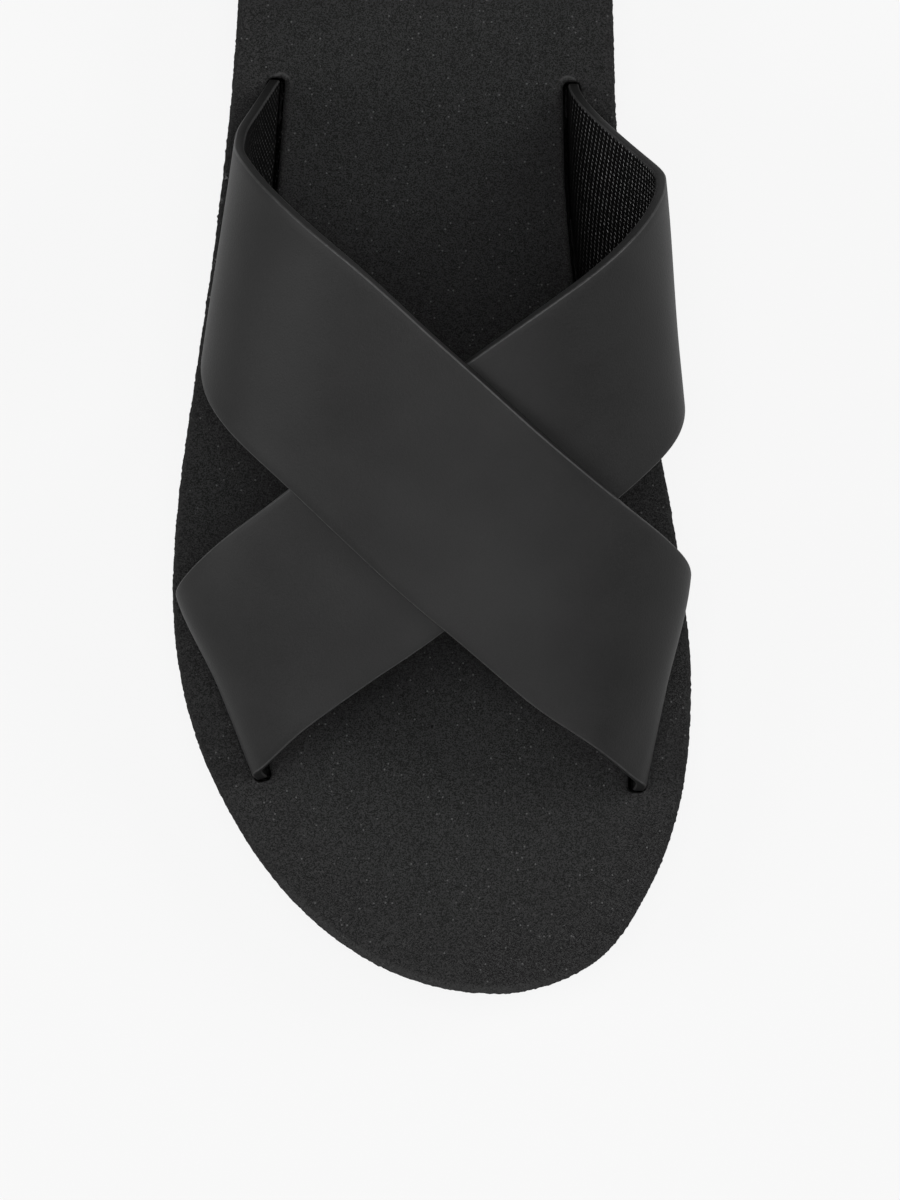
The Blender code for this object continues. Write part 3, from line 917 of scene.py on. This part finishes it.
def footbedPiece():
    top, radius = bed["nominal"], bed["topRound"]
    levels = [(0.0, (top - radius) * k / bed["wallSteps"]) for k in range(bed["wallSteps"] + 1)]
    for k in range(1, bed["roundSteps"] + 1):
        angle = math.pi / 2 * k / bed["roundSteps"]
        levels.append((radius * (1 - math.cos(angle)), top - radius * (1 - math.sin(angle))))
    piece = finishMesh(soleSlab(levels, bed["rows"], bed["columns"]), "footbedBody", [foamMat])
    cutWith(piece, slotCutter())
    bm = bmesh.new()
    bm.from_mesh(piece.data)
    places = np.array([vert.co[:] for vert in bm.verts])
    inside = edgeDistance(places)
    bm.normal_update()
    front, rear = foam["tornAlong"]
    for vert, depth in zip(bm.verts, inside):
        share = vert.co.z / top
        low, high = footbedBaseZ(vert.co.y), footbedTopZ(vert.co.x, vert.co.y)
        vert.co.z = low + (high - low) * share
        if depth < radius and share > bed["wanderFrom"]:
            outward = Vector((vert.normal.x, vert.normal.y, 0))
            fine = noise.noise(vert.co / bed["sawnEvery"]) * bed["sawn"]
            broad = noise.noise(vert.co / bed["wavyEvery"]) * bed["wavy"]
            if vert.co.x < 0 and front < vert.co.y < rear and share > foam["tornHeight"]:
                lump = noise.noise(vert.co / foam["tornEvery"]) - foam["tornOver"]
                broad += max(0.0, lump) * foam["tornLift"]
            vert.co += outward * (fine + broad)
    bm.to_mesh(piece.data)
    bm.free()
    mesh = piece.data
    depths = mesh.attributes.new("edgeDistance", "FLOAT", "POINT")
    depths.data.foreach_set("value", inside.astype(np.float32))
    mesh.shade_smooth()
    mesh.set_sharp_from_angle(angle=math.radians(meshing["smoothAngle"]))
    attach(piece, "root")
    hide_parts("footbed")


footbedPiece()
print("footbed made")

# Outsole

tread = {
    "edgeRound": 0.0012,
    "roundSteps": 4,
    "rim": 0.0045,
    "rimSlope": 0.3,
    "deep": 0.0008,
    "rows": 260,
    "columns": 12,
    "ribEvery": 0.0052,
    "ribWide": 0.0026,
    "zigzag": 0.0016,
    "wave": 0.009,
    "stepsPerWave": 4,
    "ribSunk": 0.0002,
    "ribShortest": 0.006,
    "ribToRim": 0.0012,
    "ribAngle": 30,
    "endRoom": 2.2,    # in rims, from the sole's tips to the first rib
    "tip": 0.001,    # the share of the length where the outline's width is last read
}


def outsolePiece():
    radius, rim, deep = tread["edgeRound"], tread["rim"], tread["deep"]
    levels = [(0.0, shoe["outsoleThick"]), (0.0, radius)]
    for k in range(1, tread["roundSteps"] + 1):
        angle = math.pi / 2 * k / tread["roundSteps"]
        levels.append((radius * (1 - math.cos(angle)), radius * (1 - math.sin(angle))))
    levels += [(rim, 0.0), (rim + tread["rimSlope"] * deep, deep)]
    bm = soleSlab(levels, tread["rows"], tread["columns"])
    for vert in bm.verts:
        vert.co.z += treadZ(vert.co.y)
    piece = finishMesh(bm, "outsoleSheet", [rubberMat])
    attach(piece, "root")
    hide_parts("outsole")


def insideWidth(y, room):    # how far a rib may reach on both sides at this place along the sole
    station = min(1 - tread["tip"], max(tread["tip"], stationAt(y)))
    turn = math.acos(1 - 2 * station)
    return outlinePoint(turn).x + room, outlinePoint(2 * math.pi - turn).x - room


def treadRibs():
    bm = bmesh.new()
    reach = shoe["length"] / 2 - tread["endRoom"] * tread["rim"]
    count = int(2 * reach / tread["ribEvery"])
    for k in range(count + 1):
        middle = -reach + 2 * reach * k / count
        room = tread["rim"] + tread["ribToRim"]
        ends = [insideWidth(middle + shift, room) for shift in (-tread["ribWide"], 0, tread["ribWide"])]
        left, right = max(end[0] for end in ends), min(end[1] for end in ends)
        if right - left < tread["ribShortest"]:
            continue
        steps = max(tread["stepsPerWave"], int((right - left) / (tread["wave"] / tread["stepsPerWave"])))
        made = bmesh.ops.create_grid(bm, x_segments=steps, y_segments=1, size=0.5)["verts"]
        for vert in made:
            x = left + (right - left) * (vert.co.x + 0.5)
            ramp = abs((x / tread["wave"]) % 1 * 2 - 1) * 2 - 1
            y = middle + ramp * tread["zigzag"] + vert.co.y * tread["ribWide"]
            vert.co = (x, y, treadZ(y) + tread["deep"] + tread["ribSunk"])
    made = bmesh.ops.extrude_face_region(bm, geom=bm.faces[:])
    for item in made["geom"]:
        if isinstance(item, bmesh.types.BMVert):
            item.co.z -= tread["deep"] + tread["ribSunk"]
    piece = finishMesh(bm, "treadRibs", [rubberMat], tread["ribAngle"])
    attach(piece, "root")


outsolePiece()
treadRibs()
print("outsole made")

# Floor, light and camera

studio = {
    "floorSize": 6.0,
    "floorDrop": 0.0001,    # just clear of the tread
    "floorTone": 0.02,
    "floorGlow": 0.885,
    "floorRoughness": 0.9,
    "floorSpecular": 0.2,
    "world": 0.05,
    # name, watts and place; all are of one size and point at one spot on the footbed
    "lightSize": 0.7,
    "target": (0.0, 0.0, 0.02),
    "lights": (
        ("overhead", 21.5, (0.0, 0.0, 1.5)),
        ("leftSide", 17.5, (-1.18, -0.28, 0.85)),
        ("rightSide", 21.5, (1.18, 0.28, 0.90)),
        ("toeSide", 8.5, (0.0, -1.25, 1.0)),
    ),
}


def studioSet():
    bm = bmesh.new()
    bmesh.ops.create_grid(bm, x_segments=1, y_segments=1, size=studio["floorSize"] / 2)
    floorMat, tree, shader = newMaterial("paleFloor", studio["floorTone"], studio["floorRoughness"],
                                         studio["floorSpecular"])
    shader.inputs["Emission Color"].default_value = (1, 1, 1, 1)
    shader.inputs["Emission Strength"].default_value = studio["floorGlow"]
    bmesh.ops.translate(bm, verts=bm.verts, vec=(0, 0, -studio["floorDrop"]))
    floor = finishMesh(bm, "floor", [floorMat])
    world = bpy.data.worlds.new("studio")
    world.use_nodes = True
    world.node_tree.nodes["Background"].inputs["Color"].default_value = (1, 1, 1, 1)
    world.node_tree.nodes["Background"].inputs["Strength"].default_value = studio["world"]
    bpy.context.scene.world = world
    for name, watts, place in studio["lights"]:
        light = bpy.data.lights.new(name, "AREA")
        light.energy = watts
        light.size = studio["lightSize"]
        lamp = bpy.data.objects.new(name, light)
        lamp.location = place
        aim = Vector(studio["target"]) - lamp.location
        lamp.rotation_euler = aim.to_track_quat("-Z", "Y").to_euler()
        bpy.context.scene.collection.objects.link(lamp)


# the photograph looks straight down, toe at the bottom, and its top edge hides the heel
view = {
    "pixels": (900, 1200),
    "metresPerPixel": 0.0001888,
    "middle": (0.0033, -0.0576),
    "matchHeight": 0.02,
    "distance": 3.0,
    "sensor": 36.0,    # millimetres
}


def photoCamera():
    data = bpy.data.cameras.new("photoCamera")
    data.sensor_fit = "VERTICAL"
    data.sensor_height = view["sensor"]
    tall = view["pixels"][1] * view["metresPerPixel"]
    data.lens = view["sensor"] * view["distance"] / tall
    camera = bpy.data.objects.new("photoCamera", data)
    camera.location = (*view["middle"], view["distance"] + view["matchHeight"])
    bpy.context.scene.collection.objects.link(camera)
    bpy.context.scene.camera = camera


studioSet()
photoCamera()
bpy.context.scene.view_settings.view_transform = "Standard"
print("studio made")
